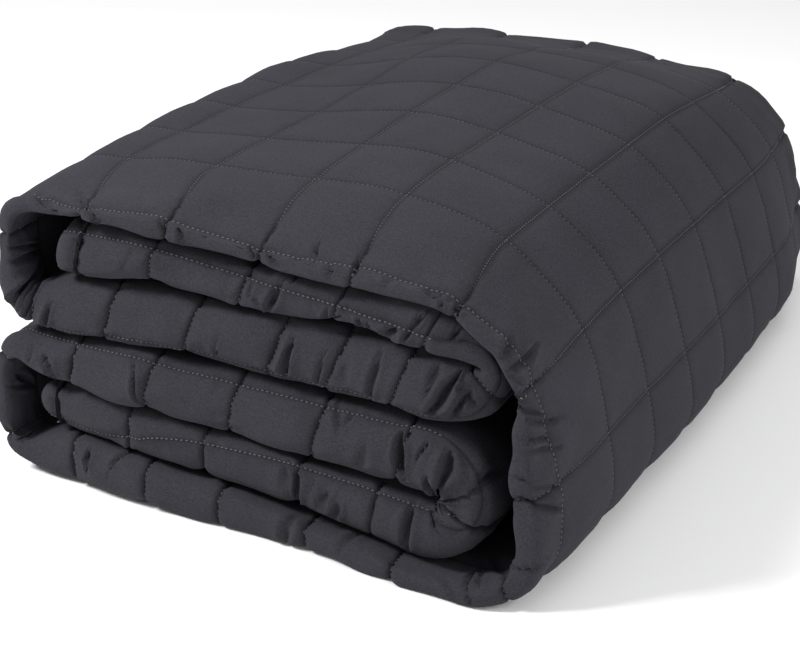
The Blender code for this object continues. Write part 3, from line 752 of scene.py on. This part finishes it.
def cells(grid, seen):
    """(first section, last section, first row, last row) of each face."""
    sections = len(grid.along)
    behind = ROUND_DEPTH + np.abs(grid.rows) - QUARTER
    middle = (behind + np.roll(behind, -1)) / 2
    at_back = middle > BACK_ZONE
    outside = np.roll(grid.rows, -1) > 0
    layouts = []
    for zone in (HIDDEN_ZONE, FRONT_ZONE):
        in_front = middle < np.where(outside, FRONT_ZONE, zone)
        steps = [(row, row + 1, 1) for row in np.flatnonzero(in_front)]
        steps += [(row, row + 1, COARSE) for row in np.flatnonzero(at_back)]
        for face in (outside, ~outside):
            inner_rows = np.flatnonzero(~in_front & ~at_back & face)
            every = 1 if zone == FRONT_ZONE else COARSE_ROWS
            stops = list(inner_rows[::every]) + [inner_rows[-1] + 1]
            steps += [(low, high, COARSE) for low, high in zip(stops, stops[1:])]
        layouts.append(steps)
    faces = []
    for first in range(0, sections - 1, BLOCK):
        place = grid.along[first + BLOCK // 2]
        for low, high, step in layouts[int(seen[0] < place < seen[1])]:
            for near in range(first, first + BLOCK, step):
                faces.append((near, near + step, low, high))
    return faces


def cloth_mesh(grid, seam, faces):
    """The mesh of the band: faces of several sizes that share their corners."""
    sections, rows = grid.points.shape[:2]
    used = np.zeros((sections, rows), bool)
    for near, far, low, high in faces:
        for i in (near, far):
            used[i, low % rows] = used[i, high % rows] = True
    index = np.cumsum(used.ravel()).reshape(used.shape) - 1
    in_back_half = np.abs(grid.rows) > DEPTH / 2
    polygons, maps = [], []
    for near, far, low, high in faces:
        loop = [(i, low) for i in range(near, far)] + [(far, j) for j in range(low, high)]
        loop += [(i, high) for i in range(far, near, -1)]
        loop += [(near, j) for j in range(high, low, -1)]
        inner = grid.rows[low] < 0 or (low + 1 < rows and grid.rows[low + 1] < 0)
        polygon = []
        for i, j in loop:
            j %= rows
            if used[i, j]:
                polygon.append(int(index[i, j]))
                over = grid.over[i, j]
                if in_back_half[j]:     # the map is cut at the back fold, where its sign changes
                    over = -abs(over) if inner else abs(over)
                maps.append((grid.along[i], over))
        polygons.append(polygon)
    for end in (0, sections - 1):
        tip = [(end, j) for j in range(rows) if used[end, j]][::-1 if end else 1]
        polygons.append([int(index[i, j]) for i, j in tip])
        maps += [(grid.along[i], grid.over[i, j]) for i, j in tip]
    mesh = bpy.data.meshes.new("quilted_cloth")
    mesh.from_pydata(grid.points[used].tolist(), [], polygons)
    along, over = np.array(maps).T
    start, end = grid.along[0], grid.along[-1]
    in_square = ((along - start) / (end - start), 0.5 + FACE_IN_MAP * over / OVER_ALL)
    for name, values in (("cloth", (along, over)), ("OFBake", in_square)):
        layer = mesh.uv_layers.new(name=name)
        layer.data.foreach_set("uv", np.column_stack(values).ravel())
    # how near a seam each point lies, for the painted shade of the seam grooves and their needle
    # holes
    nearness = mesh.attributes.new("seam", "FLOAT", "POINT")
    nearness.data.foreach_set("value", seam[used])
    mesh.shade_smooth()
    return mesh


def new_object(name, data):
    """An object in the scene."""
    item = bpy.data.objects.new(name, data)
    bpy.context.scene.collection.objects.link(item)
    return item


def add_piece(name, mesh, material):
    """An object of the blanket, on its body."""
    mesh.materials.append(material)
    piece = new_object(name, mesh)
    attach(piece, "root")
    return piece


# -------- stitches
def one_stitch():
    """Points of a stitch, by its length, side and height, and its faces."""
    turns = 2 * math.pi * np.arange(STITCH_SIDES) / STITCH_SIDES
    rings = [
        (place, math.cos(turn), math.sin(turn))
        for place in (-STITCH_SHOULDER, STITCH_SHOULDER) for turn in turns
    ]
    shape = np.array([(-0.5, 0.0, 0.0), *rings, (0.5, 0.0, 0.0)])
    faces = []
    for i in range(STITCH_SIDES):
        j = (i + 1) % STITCH_SIDES
        a, b, c, d = 1 + i, 1 + j, 1 + STITCH_SIDES + j, 1 + STITCH_SIDES + i
        faces += [(0, a, b), (a, d, c, b), (2 * STITCH_SIDES + 1, c, d)]
    return shape * (STITCH_LENGTH, STITCH_RADIUS, STITCH_RADIUS), faces


def unit(vector):
    """This direction at length 1."""
    return vector / max(np.linalg.norm(vector), 1e-9)


def stitch_mesh(name, lines):
    """Small raised threads along lines of (points, normals, lift above the cloth)."""
    shape, faces = one_stitch()
    places, polygons = [], []
    for points, normals, lift in lines:
        steps = np.linalg.norm(np.diff(points, axis=0), axis=1)
        reached = np.concatenate([[0.0], np.cumsum(steps)])
        count = int(reached[-1] / STITCH_PITCH)
        middles = (np.arange(count) + 0.5) * reached[-1] / max(count, 1)
        span = STITCH_SPAN * STITCH_LENGTH
        centres, starts, ends, ups = (
            np.column_stack([np.interp(stops, reached, column) for column in values.T])
            for values, stops in (
                (points, middles), (points, middles - span), (points, middles + span),
                (normals, middles),
            )
        )
        for centre, start, end, up in zip(centres, starts, ends, ups):
            heading = unit(end - start)
            side = unit(np.cross(heading, up))
            up = np.cross(side, heading)
            base = len(places) * len(shape)
            places.append(centre + up * lift + shape @ np.array([heading, side, up]))
            polygons += [tuple(base + v for v in face) for face in faces]
    points = np.concatenate(places)
    points[:, 2] = np.maximum(points[:, 2], 0.0)
    mesh = bpy.data.meshes.new(name)
    mesh.from_pydata(points.tolist(), [], polygons)
    mesh.shade_smooth()
    return mesh


def between_noses(path):
    """Distances along the band where the first cross seam shows: it turns inwards in the noses."""
    stops = [path.place(index, UPPER_NOSE.meets_x) for index in (UPPER_END, UPPER_MIDDLE)]
    stops += [path.place(index, LOWER_NOSE.meets_x) for index in (LOWER_MIDDLE, LOWER_END)]
    stops = [-math.inf, *stops, math.inf]
    return list(zip(stops[::2], stops[1::2]))


def stitch_lines(path, grid, normals, seams, seen):
    """Lines of the stitches: over the folds, along the cross seams, and where the face shows."""
    def nearest_row(over):
        return int(np.argmin(np.abs(grid.rows - over)))

    first, *between, last = [nearest_row(line) for line in CROSS_LINES]
    inner_first, inner_last = nearest_row(-CROSS_LINES[0]), nearest_row(-CROSS_LINES[-1])
    over_front = [*range(inner_first, len(grid.rows)), *range(first + 1)]
    over_back = [*range(last, inner_last + 1)]
    over_face = [*range(first, last + 1)]
    parts = []
    for seam in seams:
        section = int(np.argmin(np.abs(grid.along - seam)))
        parts += [(section, over_front, STITCH_LIFT), (section, over_back, STITCH_LIFT)]
        if seen[0] < seam < seen[1]:
            parts.append((section, over_face, STITCH_SUNK))
    shown = (grid.along > seen[0]) & (grid.along < seen[1])
    parts += [(shown, row, STITCH_SUNK) for row in between]
    parts.append((slice(None), last, STITCH_LIFT))
    for start, end in between_noses(path):
        parts.append(((grid.along > start) & (grid.along < end), first, STITCH_LIFT))
    return [(grid.points[part, row], normals[part, row], lift) for part, row, lift in parts]


# -------- materials
def put(tree, socket, value):
    """Link another node's output to a socket, or set the socket's own value."""
    if isinstance(value, bpy.types.NodeSocket):
        tree.links.new(value, socket)
    else:
        socket.default_value = value


def new_node(tree, kind, **values):
    """A new node with its properties and its named sockets set."""
    node = tree.nodes.new(kind)
    for name, value in values.items():
        if name in node.inputs:
            put(tree, node.inputs[name], value)
        else:
            setattr(node, name, value)
    return node


def worked_out(tree, operation, *values):
    """The result of a Math node."""
    node = new_node(tree, "ShaderNodeMath", operation=operation)
    for socket, value in zip(node.inputs, values):
        put(tree, socket, value)
    return node.outputs["Value"]


def mixed(tree, share, first, second, blend_type="MIX"):
    """A colour between two others."""
    node = new_node(
        tree, "ShaderNodeMix", data_type="RGBA", blend_type=blend_type,
        Factor=share, A=first, B=second,
    )
    return node.outputs["Result"]


def new_material(name, look):
    """A material whose shader has these values, with its node tree and its shader."""
    material = bpy.data.materials.new(name)
    material.use_nodes = True
    shader = material.node_tree.nodes["Principled BSDF"]
    for socket, value in look.items():
        shader.inputs[socket].default_value = value
    return material, material.node_tree, shader


def cloth_material():
    """Charcoal cloth: fine weave, fibre grain and soft sheen, a little darker in its seams: painted
    shade of their grooves, and partly their needle holes.
    """
    material, tree, shader = new_material("charcoal_cloth", CLOTH_LOOK)
    cloth = new_node(tree, "ShaderNodeUVMap", uv_map="cloth").outputs["UV"]
    place = new_node(tree, "ShaderNodeTexCoord").outputs["Object"]
    yarns = [
        new_node(tree, "ShaderNodeTexWave", bands_direction=direction, Vector=cloth, **YARN)
        for direction in "XY"
    ]
    weave = worked_out(tree, "MULTIPLY", *(yarn.outputs["Fac"] for yarn in yarns))
    grain, tone = (
        new_node(tree, "ShaderNodeTexNoise", Vector=place, **look).outputs["Fac"]
        for look in (FIBRES, UNEVEN_TONE)
    )
    lift = 0.0
    for pattern, share in zip((grain, tone, weave), PATTERN_SHARES):
        lift = worked_out(tree, "MULTIPLY_ADD", pattern, share, lift)
    colour = new_node(tree, "ShaderNodeValToRGB", Fac=lift)
    ends = zip(colour.color_ramp.elements, PATTERN_RANGE, (CLOTH_DARK, CLOTH_LIGHT))
    for element, position, tint in ends:
        element.position = position
        element.color = tint
    # painted shade: near the seams the colour is multiplied towards SEAM_SHADE_TINT, for the shadow
    # in their grooves and partly for their needle holes
    seam = new_node(tree, "ShaderNodeAttribute", attribute_name="seam").outputs["Fac"]
    share = worked_out(tree, "MULTIPLY", seam, SEAM_SHADE)
    shaded = mixed(tree, share, colour.outputs["Color"], SEAM_SHADE_TINT, "MULTIPLY")
    put(tree, shader.inputs["Base Color"], shaded)
    height = worked_out(tree, "ADD", weave, grain)
    bump = new_node(tree, "ShaderNodeBump", Height=height, **WEAVE_BUMP)
    put(tree, shader.inputs["Normal"], bump.outputs["Normal"])
    return material


def thread_material():
    """Sewing thread, a little lighter than the cloth."""
    material, tree, shader = new_material("charcoal_thread", THREAD_LOOK)
    place = new_node(tree, "ShaderNodeTexCoord").outputs["Object"]
    twist = new_node(tree, "ShaderNodeTexNoise", Vector=place, **THREAD_TWIST).outputs["Fac"]
    dark = (*(THREAD_DARK * part for part in THREAD[:3]), 1.0)
    put(tree, shader.inputs["Base Color"], mixed(tree, twist, dark, THREAD))
    return material


# -------- stage, light and camera
def add_floor():
    """A plain pale floor."""
    mesh = bpy.data.meshes.new("floor")
    corners = [
        (x * FLOOR_REACH, y * FLOOR_REACH, -FLOOR_DROP)
        for x, y in ((-1, -1), (1, -1), (1, 1), (-1, 1))
    ]
    mesh.from_pydata(corners, [], [(0, 1, 2, 3)])
    material, tree, shader = new_material("floor", FLOOR_LOOK)
    speck = new_node(tree, "ShaderNodeTexNoise", Scale=FLOOR_GRAIN).outputs["Fac"]
    tints = [(pale, pale, pale, 1.0) for pale in FLOOR_TINTS]
    put(tree, shader.inputs["Base Color"], mixed(tree, speck, *tints))
    mesh.materials.append(material)
    floor = new_object("floor", mesh)


def new_view(name, data, place, heading):
    """A light or camera at this place that looks in this direction."""
    item = new_object(name, data)
    item.location = place
    item.rotation_euler = Vector(heading).to_track_quat("-Z", "Y").to_euler()
    return item


def add_lights():
    """Soft boxes and a pale surrounding."""
    for light in LIGHTS:
        data = bpy.data.lights.new(light.name, "AREA")
        data.size = light.size
        data.energy = light.power
        new_view(light.name, data, light.place, Vector(LIGHT_AIM) - Vector(light.place))
    world = bpy.data.worlds.new("surrounding")
    world.use_nodes = True
    sky = world.node_tree.nodes["Background"]
    sky.inputs["Color"].default_value = (1.0, 1.0, 1.0, 1.0)
    sky.inputs["Strength"].default_value = SKY_STRENGTH
    bpy.context.scene.world = world
    bpy.context.scene.view_settings.view_transform = "Standard"


def add_camera():
    """The photograph's camera."""
    data = bpy.data.cameras.new("camera")
    data.lens = CAMERA_LENS
    data.sensor_width = CAMERA_SENSOR
    camera = new_view("camera", data, CAMERA_PLACE, CAMERA_HEADING)
    bpy.context.scene.camera = camera


# -------- the scene
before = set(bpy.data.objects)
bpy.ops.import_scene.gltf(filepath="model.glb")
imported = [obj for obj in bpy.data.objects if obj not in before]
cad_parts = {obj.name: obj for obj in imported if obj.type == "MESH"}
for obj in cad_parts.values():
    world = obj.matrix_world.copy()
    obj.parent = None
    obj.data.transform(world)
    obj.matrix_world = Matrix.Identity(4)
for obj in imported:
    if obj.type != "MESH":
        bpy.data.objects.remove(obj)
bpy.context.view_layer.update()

add_camera()
add_lights()
add_floor()

path = Path()
seams = path.seams()
seen = seen_range(path)
grid, normals, seam = quilted_band(path, seams)
blanket = add_piece("quilted_cloth", cloth_mesh(grid, seam, cells(grid, seen)), cloth_material())
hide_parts("blanket")
threads = stitch_mesh("stitches", stitch_lines(path, grid, normals, seams, seen))
add_piece("stitches", threads, thread_material())
